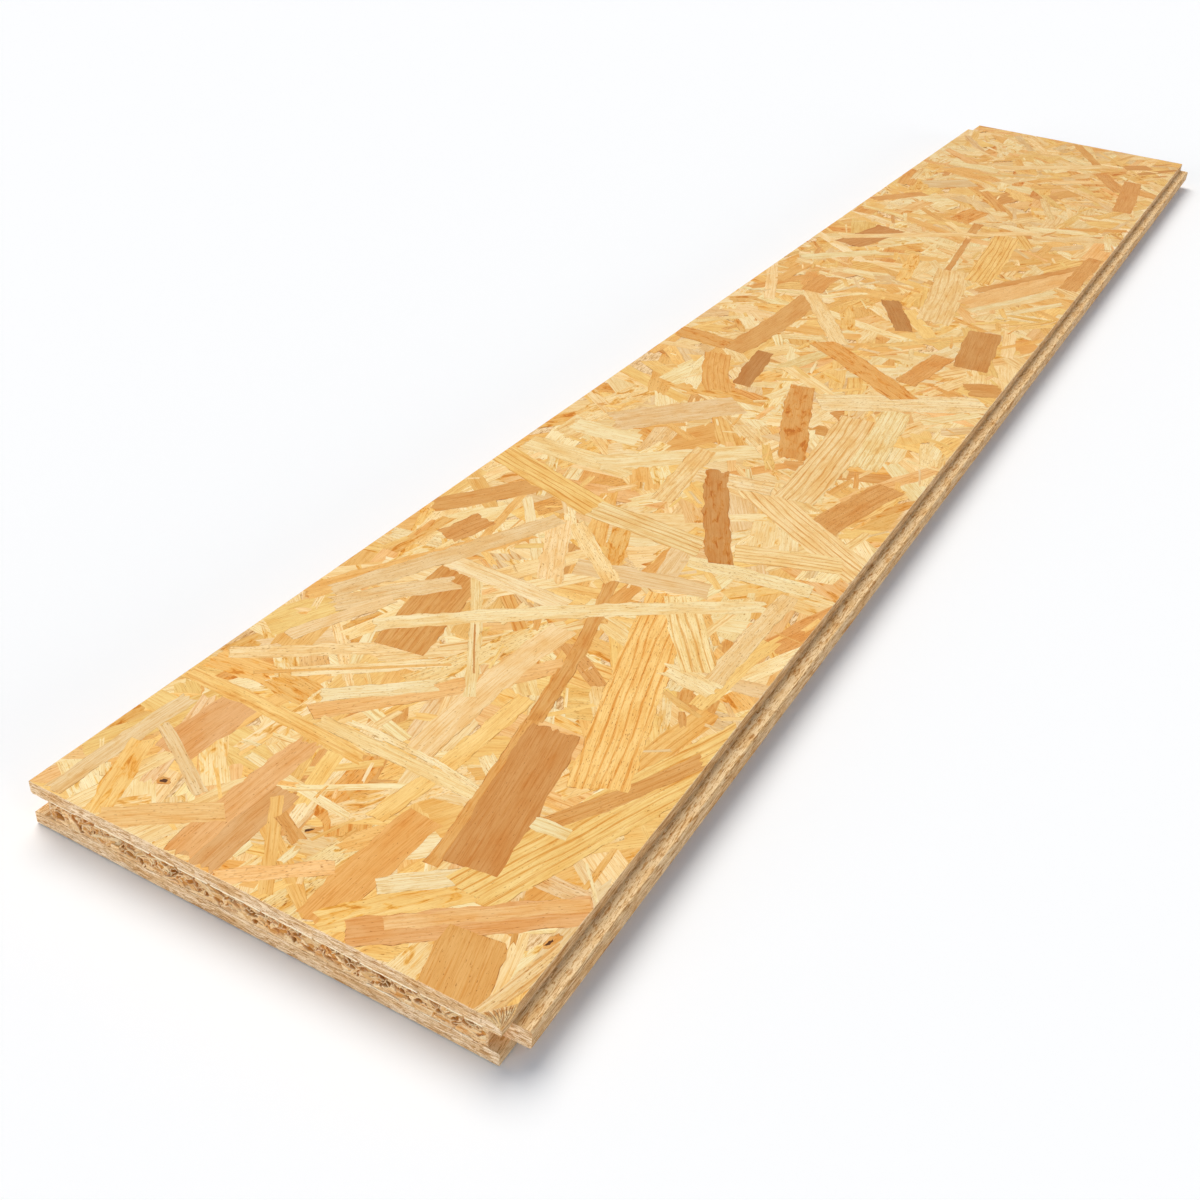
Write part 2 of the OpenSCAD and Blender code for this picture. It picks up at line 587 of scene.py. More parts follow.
def stack_up(strands):
    """The level of each strand, above all that it lies on, and whether any of it can be seen."""
    cell = 1.25  # the face is looked at in squares of this size
    along, across = np.meshgrid(
        np.arange(cell / 2, BOARD_L, cell), np.arange(cell / 2, FACE_W, cell), indexing="ij"
    )
    level = np.zeros(along.shape, dtype=int)
    owner = np.full(along.shape, -1)
    levels = []
    for index, strand in enumerate(strands):
        reach = (strand.length + strand.width) / 2 + 4
        patch = tuple(
            slice(max(0, int((middle - reach) / cell)), max(0, int((middle + reach) / cell) + 1))
            for middle in (strand.along, strand.across)
        )
        near = strand.covers(along[patch], across[patch], 1.5)
        highest = level[patch][near].max() + 1 if near.any() else 1
        levels.append(highest)
        level[patch][near] = highest
        owner[patch][strand.covers(along[patch], across[patch], 0.3)] = index
    seen = set(np.unique(owner))
    return levels, [index in seen for index in range(len(strands))]


def on_rim(along, across, width, upper):
    """Which points of a skin stand at the milled edges."""
    near = 3 * FLUSH
    result = (along < near) | (along > BOARD_L - near) | (across < near) | (across > width - near)
    if upper:
        result |= (along > BOARD_L - NOTCH_ALONG - near) & (across < NOTCH_ACROSS + near)
    return result


def skin(name, strands, upper):
    """One piece from all the strands of a side. Each strand is a closed thin slab with a soft rim."""
    mesh = Mesh()
    levels, seen = stack_up(strands)
    outward, surface, width = (1, BOARD_T, FACE_W) if upper else (-1, 0.0, UNDER_W)

    def slab(strand, part, height, inset):
        """A wall up from the bottom, a sloping rim and a flat top."""
        count = len(part)
        rim_in, least_rim = min(RIM, 0.16 * strand.width), 0.02
        while rim_in > least_rim and crosses_itself(shrunk(part, rim_in)):
            rim_in *= 0.5
        inner = np.clip(shrunk(part, rim_in), inset, (BOARD_L - inset, width - inset))
        flat = np.vstack([part, part, inner])
        heights = (surface - outward * (RELIEF + FLUSH), height - outward * RIM_DROP, height)
        z = np.repeat(heights, count)
        points = np.column_stack([END_NEAR + flat[:, 0], EDGE_GROOVE - flat[:, 1], z])
        faces = tube(3, count)
        if not upper:
            faces = [face[::-1] for face in faces]
        u, v = strand.own_frame(*flat.T)
        at_edge = on_rim(*flat.T, width, upper)
        # 1 on the rim, where the material paints its patchy dark edge, which is partly painted shade
        rim = np.repeat((1.0, 1.0, 0.0), count)
        tone = np.tile((*np.clip(strand.tone, 0, 1), 1.0), (3 * count, 1))
        # Strands at the milled edges turn pale: partly frayed wood, partly a painted highlight along
        # the arris
        tone[at_edge, :3] = (1 - FRAY_HIGHLIGHT_SHARE) * tone[at_edge, :3] + FRAY_HIGHLIGHT_SHARE * np.array(FRAYED_HIGHLIGHT)
        mesh.add(
            points,
            faces,
            tone=tone,
            grain=np.column_stack([u, v, np.full(len(u), strand.seed)]),
            shape=(strand.length / 2, strand.width / 2, strand.bend),
            figure=strand.figure,
            rim=np.where(at_edge, 0.0, rim)[:, None],
        )

    level_spread = 0.8  # the share of a level over which its strands are spread
    lowest = 0.92  # how deep in the relief the lowest strand lies, as a share
    least_area = 0.6  # in square millimetres, for a part of a strand
    for order, strand in enumerate(strands):
        if not seen[order]:
            continue
        # No two strands lie in one plane: of those at one level, the later one lies a little higher.
        below = level_spread * (1 - order / len(strands))
        sunk = 1 - (levels[order] - below) / max(levels)
        height = surface - outward * RELIEF * lowest * sunk
        inset = FLUSH * (1 + sunk)
        for part in face_parts(strand.placed(), width, inset, upper):
            part = cleaned(part)
            if len(part) > 2 and abs(area(part)) >= least_area:
                slab(strand, part if area(part) > 0 else part[::-1], height, inset)
    return mesh.build(name)


BED_TONES = ["cream", "honey", "straw", "pale", "amber", "tan", "peach", "ash"]
BED_SHARES = [0.25, 0.15, 0.22, 0.20, 0.05, 0.02, 0.05, 0.06]
BED_FIGURES = ["plain", "ringed", "striped", "mottled"]


def loose_strand(rng, along, across, turn, lengths, widths, step):
    """A strand of a chance size, tone and figure."""
    length, width = rng.uniform(*lengths), rng.uniform(*widths)
    tone = rng.choice(BED_TONES, p=BED_SHARES)
    figure = rng.choice(BED_FIGURES, p=[0.58, 0.12, 0.05, 0.25])
    return Strand(rng, along, across, turn, length, width, tone, figure, step)


def bed(rng):
    """The first strands down, close enough to hide the body, at every angle."""
    strands = []
    for row in np.arange(6, BOARD_L + 10, 34):
        for column in np.arange(2, FACE_W + 6, 12):
            along, across = row + rng.uniform(-14, 14), column + rng.uniform(-6, 6)
            place = (along, across, rng.uniform(-90, 90))
            strands.append(loose_strand(rng, *place, lengths=(55, 110), widths=(12, 24), step=13.0))
    return strands


def scattered(rng, count, lengths, widths, step):
    """Strands anywhere on the face, a little more of them along the board than across it."""
    strands = []
    for _ in range(count):
        turn = rng.normal(0, 38) if rng.random() < 0.6 else rng.uniform(-90, 90)
        along, across = rng.uniform(0, BOARD_L), rng.uniform(0, FACE_W)
        strands.append(loose_strand(rng, along, across, turn, lengths, widths, step))
    return strands


# The strands that give this board's face its look, from the lowest to the highest:
# along, across, turn in degrees, length, width, tone and, where it isn't plain, figure.
KEY_STRANDS = [
    (25, 82, 0, 50, 18, "rose"), (40, 73, 0, 78, 13, "rose"), (34, 136, 2, 66, 17, "amber"),
    (62, 33, 2, 42, 20, "rose"), (101, 17, 84, 30, 15, "honey mottled"),
    (102, 44, 97, 22, 17, "honey mottled"), (37, 12, 2, 72, 9, "ash"),
    (21, 26, -22, 46, 11, "straw mottled"), (42, 38, -61, 48, 6, "ash"),
    (24, 99, -36, 52, 6, "honey"), (13, 109, 50, 44, 8, "peach"), (34, 99, -62, 18, 6, "tan"),
    (14, 55, 52, 46, 12, "peach"), (84, 50, 93, 98, 9, "straw ringed"),
    (136, 98, 39, 115, 11, "peach"), (150, 113, 2, 110, 14, "cream"), (103, 128, 5, 96, 9, "straw"),
    (88, 126, 92, 118, 7.5, "cream"), (95, 114, 95, 72, 4, "pale"), (133, 42, 52, 92, 9, "cream"),
    (130, 62, 50, 66, 7, "pale"), (126, 57, 52, 85, 2.5, "honey"), (120, 76, 48, 50, 9, "pale"),
    (183, 58, -10, 70, 26, "tan ringed"), (185, 36, 37, 62, 13, "ash"), (155, 28, 22, 55, 8, "ash"),
    (215, 30, 28, 125, 13, "honey"), (178, 86, -32, 95, 6, "pale"), (222, 75, 92, 68, 13, "pale"),
    (168, 92, -33, 38, 1.3, "brown"), (112, 145, -9, 132, 6, "tan ringed"),
    (32, 162, 40, 78, 14, "straw mottled"), (40, 158, 48, 38, 9, "pale"),
    (112, 198, 20, 150, 24, "straw striped"), (120, 196, 27, 80, 9, "tan"),
    (32, 182, 50, 88, 14, "rose"), (38, 185, 50, 74, 7, "peach"), (12.5, 191, -15, 33, 25, "tan"),
    (187, 165, -15, 148, 25, "straw striped"), (96, 160, -10, 88, 24, "brown"),
    (87, 181, 86, 16, 8, "pale"), (200, 130, -13, 125, 7, "tan ringed"),
    (203, 183, 100, 28, 14, "pale"), (234, 167, -35, 62, 18, "cream striped"),
    (219, 114, 51, 186, 11, "pale"), (248, 193, 1, 84, 10, "ash"),
    (474, 121, -19, 104, 17, "tan mottled"), (288, 20, 33, 62, 15, "tan"),
    (254, 30, 15, 28, 15, "tan"), (356, 38, 88, 68, 18, "cream"),
    (322, 37, 108, 82, 20, "straw striped"), (391, 35, 85, 42, 17, "pale"),
    (386, 188, 13, 84, 18, "tan"), (355, 175, -57, 104, 23, "cream striped"),
    (440, 157, -3, 120, 24, "cream striped"), (482, 173, -6, 88, 18, "pale ringed"),
    (308, 106, 93, 66, 19, "cream striped"), (322, 180, 68, 55, 17, "cream striped"),
    (263, 127, 75, 68, 15, "ash"), (296, 170, 82, 64, 12, "pale"), (271, 95, -48, 60, 10, "cream"),
    (262, 78, -25, 60, 13, "cream"), (229, 39, 24, 132, 12, "ash"), (440, 58, 38, 85, 24, "ash"),
    (388, 84, 46, 98, 17, "pale"), (380, 120, 78, 50, 16, "pale ringed"),
    (342, 130, -26, 100, 14, "brown mottled"), (372, 96, -5, 70, 13, "cream ringed"),
    (538, 167, 56, 108, 24, "pale"), (530, 68, -8, 60, 13, "dusk"), (610, 50, 3, 125, 18, "tan"),
    (556, 20, 92, 40, 18, "amber mottled"), (643, 73, -34, 98, 13, "cream"),
    (573, 128, -55, 95, 20, "amber mottled"), (680, 115, -29, 60, 14, "dusk"),
    (653, 182, -8, 72, 24, "brown"), (590, 205, 60, 25, 20, "tan"), (598, 162, 8, 60, 15, "tan"),
    (510, 50, -25, 60, 18, "amber ringed"), (760, 178, 30, 90, 10, "cream"),
    (777, 35, 42, 70, 12, "pale"), (705, 45, 0, 40, 16, "tan"),
    (742, 131, -10, 120, 25, "cream ringed"), (800, 178, 24, 150, 22, "peach"),
    (765, 177, 28, 92, 6, "pale"), (828, 178, 27, 140, 8, "tan"),
    (850, 138, -5, 130, 22, "straw striped"), (842, 111, -6, 90, 5, "tan"),
    (836, 38, 14, 66, 24, "brown"), (878, 83, 48, 175, 10, "cream"), (960, 20, 33, 60, 12, "tan"),
    (860, 206, 2, 90, 14, "tan"), (1140, 170, -30, 60, 15, "tan"), (1105, 193, -6, 108, 17, "tan"),
    (1215, 180, 45, 30, 16, "tan"), (1030, 45, 45, 50, 22, "ash"), (1072, 50, 100, 40, 18, "honey"),
    (1103, 47, 85, 48, 18, "pale"), (1155, 110, 47, 124, 12, "cream"),
    (945, 88, 10, 45, 20, "amber mottled"), (915, 103, -5, 30, 8, "tan"),
    (17, 211, 13, 46, 7, "ash ringed"), (28, 42, 60, 6, 4.4, "tan knot"),
    (28, 42, 60, 4.2, 2.8, "dark knot"), (38, 107, 40, 7, 3.2, "tan knot"),
    (37, 106, 40, 4.4, 1.6, "dark knot"), (39, 210.5, 12, 9, 4, "tan knot"),
    (38, 210, 12, 5, 1.8, "dark knot"),
]


def face_skin():
    rng = np.random.default_rng(FACE_SEED)
    strands = bed(rng)
    strands += scattered(rng, 300, lengths=(26, 85), widths=(4, 13), step=8.0)
    strands += scattered(rng, 600, lengths=(5, 26), widths=(1.2, 5), step=5.0)
    for *place_and_size, look in KEY_STRANDS:
        tone, _, figure = look.partition(" ")
        strands.append(Strand(rng, *place_and_size, tone, figure or "plain", step=4.0, neat=0.3))
    return skin("face_strands", strands, upper=True)


def underside_skin():
    rng = np.random.default_rng(UNDER_SEED)
    strands = bed(rng)
    strands += scattered(rng, 330, lengths=(40, 120), widths=(7, 22), step=8.0)
    strands += scattered(rng, 260, lengths=(6, 24), widths=(1.2, 4.5), step=6.0)
    return skin("underside_strands", strands, upper=False)


# -------- the milled body


def box_mesh(mesh, low, high):
    """Adds a closed box between two corners."""
    xs, ys, zs = zip(low, high)
    points = [(x, y, z) for z in zs for y in ys for x in xs]
    faces = [[0, 2, 3, 1], [4, 5, 7, 6], [0, 1, 5, 4], [2, 6, 7, 3], [0, 4, 6, 2], [1, 3, 7, 5]]
    mesh.add(points, faces)


def mark_arrises(mesh):
    """Marks the sharp edges to soften: all but those that the skins lie flush with."""
    shape = bmesh.new()
    shape.from_mesh(mesh)
    weight = shape.edges.layers.float.new("bevel_weight_edge")
    for edge in shape.edges:
        sharp = len(edge.link_faces) == 2 and edge.calc_face_angle() > math.radians(40)
        heights = np.array([vertex.co.z for vertex in edge.verts]) / MM
        flush = any(np.all(abs(heights - level) < SAME) for level in (RELIEF, BOARD_T - RELIEF))
        edge[weight] = float(sharp and not flush)
    shape.to_mesh(mesh)
    shape.free()


def milled_body():
    """The CAD solid with room for both skins and for the open core, and with frayed arrises that carry
    a painted highlight.
    """
    room = 50.0  # how far the cutters run past the board
    first, last = END_NEAR - room, END_FAR + room
    left, right = EDGE_TONGUE - room, EDGE_GROOVE + room
    cutter = Mesh()
    box_mesh(cutter, (first, left, BOARD_T - RELIEF), (last, right, BOARD_T + room))
    box_mesh(cutter, (first, left, -room), (last, right, RELIEF))
    core_end = (END_NEAR + RECESS, EDGE_GROOVE - CORE_FROM - STUB, OPEN_TOP)
    box_mesh(cutter, (first, EDGE_GROOVE - CORE_TO + STUB, CORE_Z0), core_end)
    tool = cutter.build("body_cutter")

    body = add_object("milled_board", board.data.copy())
    body.data.materials.clear()
    for material in (
        milled_wood("milled_edge", "x", srgb(236, 200, 152), 18.0),
        milled_wood("milled_end", "y", srgb(246, 216, 176), 10.0),
        milled_wood("milled_flat", "x", srgb(250, 219, 170), 14.0, flat=True),
        arris_wood(),
    ):
        body.data.materials.append(material)
    cut = body.modifiers.new("cut", "BOOLEAN")
    cut.operation = "DIFFERENCE"
    cut.solver = "EXACT"
    cut.object = tool
    settled = bpy.data.meshes.new_from_object(body.evaluated_get(bpy.context.evaluated_depsgraph_get()))
    body.modifiers.clear()
    body.data = settled
    bpy.data.objects.remove(tool)
    for face in body.data.polygons:
        side = max(range(3), key=lambda axis: abs(face.normal[axis]))
        face.material_index = {0: 1, 1: 0, 2: 2}[side]
    mark_arrises(body.data)
    soft = body.modifiers.new("arris", "BEVEL")
    soft.width = ARRIS * MM
    soft.segments = 2
    soft.limit_method = "WEIGHT"
    soft.material = 3
    return body


# -------- the open core


# The larger hollows, in millimetres: across, height, half length, half height, turn, depth
HOLLOWS = [
    (13, 10.3, 3.1, 1.2, -4, 2.6), (12, 14.6, 2.2, 0.7, 4, 1.0), (19, 14.4, 2.4, 0.8, -12, 1.3),
    (22, 11.6, 3.4, 0.7, -34, 1.8), (25, 10.2, 1.4, 0.8, 62, 3.4), (31, 10.6, 1.4, 0.8, 60, 1.6),
    (27, 14.7, 1.5, 0.5, 30, 1.6), (37, 12.9, 2.0, 0.7, 8, 1.5), (47, 14.6, 5.0, 0.8, 0, 1.0),
    (45.5, 10.2, 1.4, 0.9, 50, 2.6), (50, 10.6, 2.6, 0.9, -14, 2.4), (55, 9.6, 1.5, 0.8, -20, 3.0),
    (59, 14.6, 3.2, 0.8, -10, 1.3), (62, 10.8, 1.6, 0.6, 52, 1.5), (67, 14.6, 1.7, 0.8, 12, 2.4),
    (71.5, 12.4, 1.7, 0.8, 34, 4.2), (70, 10.4, 1.5, 0.7, 48, 2.4), (75, 14.4, 1.5, 0.9, -40, 2.2),
    (79, 11.8, 2.2, 0.7, 32, 1.8), (82.5, 13.6, 2.0, 0.7, 82, 2.6), (87, 10.6, 1.1, 0.9, 10, 3.4),
    (92, 9.2, 1.4, 0.6, -30, 1.4), (100.5, 14.5, 2.3, 0.8, 6, 3.0), (98.5, 9.4, 2.6, 0.5, -8, 1.8),
    (108, 12.6, 2.6, 1.0, 4, 3.6), (110.5, 9.2, 1.1, 0.7, 20, 2.6), (117, 14.5, 2.6, 0.8, 24, 1.5),
    (122, 12.8, 2.0, 1.1, 40, 1.6), (127.5, 10.2, 1.0, 0.9, 0, 3.6),
    (129.5, 14.2, 2.3, 0.8, 44, 3.4), (134, 9.4, 2.2, 0.8, -14, 2.2),
    (142, 9.8, 2.6, 0.5, -28, 1.6), (146.5, 14.5, 1.9, 0.8, 22, 3.0),
    (153, 12.4, 2.3, 0.9, -8, 3.4), (155.5, 9.0, 1.0, 0.6, 0, 2.4), (157, 14.5, 1.6, 0.7, 30, 2.2),
    (167, 12.2, 1.9, 1.0, 14, 4.4), (162, 9.0, 1.2, 0.5, 40, 1.6), (172, 13.2, 1.8, 0.7, -36, 2.6),
    (176, 11.4, 2.0, 0.8, -46, 3.4), (181, 12.0, 1.6, 0.8, 42, 3.0), (178, 14.6, 2.6, 0.6, 8, 1.8),
    (190.5, 12.8, 1.4, 0.5, 14, 3.2), (188, 14.6, 2.4, 0.7, 0, 1.4), (197, 10.6, 1.6, 0.7, 36, 1.8),
    (200, 12.8, 1.3, 0.8, -30, 2.8), (203.5, 14.6, 1.8, 0.7, -24, 4.0),
]


def wandering(rng, across, height, size_across, size_height):
    """Smooth random values from about -1 to 1, in patches of this size."""
    u, v = across / size_across, height / size_height
    i, j = np.floor(u).astype(int), np.floor(v).astype(int)
    table = rng.uniform(-1, 1, (i.max() + 2, j.max() + 2))
    s, t = u - i, v - j
    s, t = s * s * (3 - 2 * s), t * t * (3 - 2 * t)
    first = table[i, j] * (1 - s) + table[i + 1, j] * s
    second = table[i, j + 1] * (1 - s) + table[i + 1, j + 1] * s
    return first * (1 - t) + second * t


def in_oval(across, height, middle, level, half_length, half_height, turn):
    """Where points are in an oval's frame, as shares of its half length and half height."""
    u, v = turned_back(across - middle, height - level, turn)
    return u / half_length, v / half_height


FLAKE_TONES = [srgb(253, 220, 170), srgb(247, 204, 147), srgb(235, 184, 120), srgb(220, 157, 87)]
FLAKE_SHARES = [0.18, 0.34, 0.30, 0.18]


def flakes(rng, across, height):
    """Torn flakes over one another: how far they lie behind the end, their tones and a painted
    highlight along their upper rims.
    """
    upper = (height - CORE_Z0) / (OPEN_TOP - CORE_Z0)
    behind = 1.2 + 0.5 * upper + 0.2 * wandering(rng, across, height, 5.0, 2.0)
    tone = np.empty((*across.shape, 3))
    tone[:] = srgb(208, 146, 76)
    rim = np.zeros(across.shape)
    count = 360  # of flakes, from the lowest to the highest
    for order in range(count):
        middle, level = rng.uniform(CORE_FROM, CORE_TO), rng.uniform(CORE_Z0 - 0.3, OPEN_TOP + 0.3)
        lift = (level - CORE_Z0) / (OPEN_TOP - CORE_Z0)
        half_length, half_height = rng.uniform(1.8, 7.5), rng.uniform(0.4, 1.25)
        turn = math.radians(rng.normal(0, 30))
        oval = (middle, level, half_length, half_height, turn)
        reach_u, reach_v = in_oval(across, height, *oval)
        reach_v = reach_v + rng.normal(0, 0.6) * reach_u**2
        reach = np.sqrt(reach_u**4 + reach_v**2)
        front = 1.0 - 0.75 * order / count + 0.45 * lift + rng.normal(0, 0.1)
        face = front + rng.normal(0, 0.12) * reach_v + rng.normal(0, 0.25) * reach_u + 0.12 * reach**4
        ahead = (reach < 1) & (face < behind)
        behind[ahead] = face[ahead]
        # Each flake's tone varies at random, and is painted darker towards the top as shade under the
        # overhanging upper skin
        tint_and_painted_shade = rng.normal(1.0, 0.05) * (1 - 0.30 * lift)
        flake_tone = np.array(FLAKE_TONES[rng.choice(4, p=FLAKE_SHARES)]) * tint_and_painted_shade
        tone[ahead] = flake_tone
        # A painted highlight along each flake's upper edge, as if lit from above
        edge = np.clip((reach - 0.45) / 0.4, 0, 1) * np.clip(reach_v * 2, 0, 1)
        rim[ahead] = (edge * rng.uniform(0.0, 1.0))[ahead]
    return behind, tone, rim


def torn_surface(rng, across, height):
    """How far the torn core lies behind the end, its tone, its pale rims (a painted highlight on the
    flakes' upper edges, and a pale ring round each hollow) and how open it is.
    """

    def drift(size_across, size_height):
        return wandering(rng, across, height, size_across, size_height)

    warped = across + 0.9 * drift(3.1, 2.3)
    lifted = height + 0.35 * drift(2.7, 1.9)
    warped += 0.3 * drift(1.0, 0.8)
    lifted += 0.15 * drift(1.1, 0.7)
    behind, tone, rim = flakes(rng, warped, lifted)
    # Along its foot the core runs on into the lower skin
    rise = (lifted - CORE_Z0 + 0.5 * drift(4.0, 3.0)) / 1.8
    foot = np.clip(rise, 0, 1) ** 0.8
    behind = 0.15 + (behind - 0.15) * foot
    tone = tone * foot[..., None] + np.array(srgb(241, 205, 158)) * (1 - foot[..., None])
    pits = []
    for middle, level, half, half_height, turn, depth in HOLLOWS:
        # The camera looks down into a hollow, and so sees it higher than its mouth
        pits.append((middle, level - 0.3 * depth, 1.25 * half, 1.3 * half_height, turn, 0.75 * depth))
        for _ in range(int(rng.integers(0, 3))):
            aside, rise = rng.normal(0, 1.4) * half, rng.normal(0, 1.8)
            place = (middle + aside, np.clip(level + rise, CORE_Z0 + 0.6, OPEN_TOP - 0.5))
            size = (rng.uniform(0.5, 1.6), rng.uniform(0.25, 0.6))
            pits.append((*place, *size, rng.uniform(-60, 60), depth * rng.uniform(0.2, 0.6)))
    sunk = np.zeros(across.shape)
    ring = np.zeros(across.shape)
    for *oval, half_height, turn, depth in pits:
        reach = np.hypot(*in_oval(warped, lifted, *oval, half_height, math.radians(turn)))
        wall = np.clip((1 - reach) / 0.5, 0, 1)
        sunk = np.maximum(sunk, depth * wall**0.7)
        outside = (reach - 1) * half_height
        ring = np.maximum(ring, np.clip(1 - outside / 0.45, 0, 1) * (outside > -0.1))
    ring *= 0.55 + 0.45 * drift(2.0, 1.0)
    rim = np.maximum(rim, ring) * np.clip(1 - sunk / 0.3, 0, 1)
    return behind - 0.12 * ring + sunk, tone, rim, sunk


def strip(mesh, path, sides, thickness, tone, rim=0.0, depth=0.0):
    """Adds a closed strip: a path of points, and at each the vector from its middle to its side."""
    path, sides = np.array(path), np.array(sides)
    run = np.gradient(path, axis=0)
    normal = np.cross(run, sides)
    normal *= thickness / 2 / np.linalg.norm(normal, axis=1)[:, None]
    ways = ((1, 1), (-1, 1), (-1, -1), (1, -1))
    rings = np.stack([path + side * sides + face * normal for side, face in ways], axis=1)
    faces = tube(len(path), 4)
    mesh.add(rings.reshape(-1, 3), faces, tone=(*tone, 1.0), rim=(rim,), depth=(depth,))


def curls(mesh, rng):
    """Torn strand ends, which bend across the hollows."""
    for middle, level, half, half_height, turn, _ in HOLLOWS:
        for _ in range(int(rng.integers(0, 4))):
            lean = math.radians(turn + rng.normal(0, 45))
            reach = rng.uniform(0.6, 1.4) * min(half, 2.2)
            bulge = rng.uniform(-0.8, 0.8) * reach
            start_across = middle + rng.normal(0, 0.5) * half
            start_level = level + rng.normal(0, 0.4) * half_height
            inward = rng.uniform(0.25, 0.7)
            path = []
            for step in np.linspace(-1, 1, 8):
                along, beside = reach * step, bulge * (0.5 - step**2)
                across = start_across + along * math.cos(lean) - beside * math.sin(lean)
                height = start_level + along * math.sin(lean) + beside * math.cos(lean)
                height = min(max(height, CORE_Z0 + 0.3), OPEN_TOP - 0.3)
                path.append((END_NEAR + 0.3 + inward / 2, EDGE_GROOVE - across, height))
            tone = np.array(TONES[rng.choice(["honey", "ash", "cream"])]) * rng.uniform(0.75, 0.98)
            thickness = rng.uniform(0.12, 0.28)
            strip(mesh, path, [(inward / 2, 0, 0)] * len(path), thickness, tone, rim=0.6, depth=0.05)


def lips(mesh, rng):
    """Pale torn slivers along the upper edge of the core, and along part of the lower one; their pale
    is partly a painted highlight along the edge.
    """
    first, last = CORE_FROM + STUB + 1, CORE_TO - STUB - 1
    lower_first = 160.0  # the lower edge is torn up only from here on
    upper, lower = (OPEN_TOP - 0.3, first, 1.5, 0.82), (CORE_Z0 + 0.05, lower_first, 1.0, 0.9)
    for level, start, gap, chance in (upper, lower):
        while start < last - 5:
            end = min(start + rng.uniform(5, 24), last)
            if rng.random() < chance:
                steps = np.linspace(start, end, 2 + int((end - start) / 1.5))
                sag = 0.15 * ripple(rng, steps, 13)
                path = [
                    (END_NEAR + 0.35, EDGE_GROOVE - across, level + drop)
                    for across, drop in zip(steps, sag)
                ]
                strip(mesh, path, [(0.3, 0, 0)] * len(path), rng.uniform(0.5, 1.2), FRAYED_HIGHLIGHT)
            start = end + rng.uniform(0, gap)


CHIP_TONES = [srgb(244, 212, 160), srgb(236, 196, 138), srgb(216, 164, 104)]
# Painted shade for the gaps between the broken corner's slivers
CHIP_GAP_SHADE = srgb(204, 146, 86)


def splinters(mesh, rng):
    """The broken corner's slivers, which run together towards its foot, and short dark strips on them
    that paint the shade of the gaps between them.
    """
    top = np.array((END_NEAR, EDGE_TONGUE + CHIP_ACROSS, BOARD_T))
    side = np.array((END_NEAR + CHIP_ALONG, EDGE_TONGUE, BOARD_T))
    foot = np.array((END_NEAR, EDGE_TONGUE, BOARD_T - CHIP_DOWN))
    break_line = (side - top) / np.linalg.norm(side - top)
    out = np.cross(break_line, foot - top)
    out *= np.sign(out[2]) / np.linalg.norm(out)

    def lay(path, below, widths, thickness, tone):
        """One strip down the break, kept inside the board."""
        path = np.array(path)
        path[:, 2] = np.minimum(path[:, 2], BOARD_T - below)
        path[:, 0] = np.maximum(path[:, 0], END_NEAR + 0.4)
        strip(mesh, path, [break_line * width for width in widths], thickness, tone)

    for share in np.linspace(0.03, 0.97, 15):
        start = top + (side - top) * share
        end = foot + (start - foot) * rng.uniform(0.05, 0.45)
        curl = rng.uniform(0.2, 0.9)
        path = []
        for step in np.linspace(0, 1, 9):
            arc = math.sin(math.pi * step)
            rise = out * (0.1 + rng.uniform(0.1, 0.35) * arc)
            path.append(start + (end - start) * step + break_line * curl * arc + rise)
        tone = CHIP_TONES[rng.choice(3, p=[0.5, 0.35, 0.15])]
        lay(path, 0.2, rng.uniform(0.25, 0.5) * (1 - 0.7 * np.linspace(0, 1, 9)), 0.3, tone)
    # Dark strips laid over the slivers: painted shade of the gaps between them
    for share in np.linspace(0.08, 0.92, 8):
        start = top + (side - top) * (share + rng.uniform(-0.03, 0.03))
        end = start + (foot - start) * rng.uniform(0.2, 0.45)
        path = [start + (end - start) * step + out * 0.42 for step in np.linspace(0.08, 1, 5)]
        widths = rng.uniform(0.2, 0.4) * np.sin(np.pi * np.linspace(0.2, 0.95, 5))
        lay(path, 0.12, widths, 0.2, CHIP_GAP_SHADE)


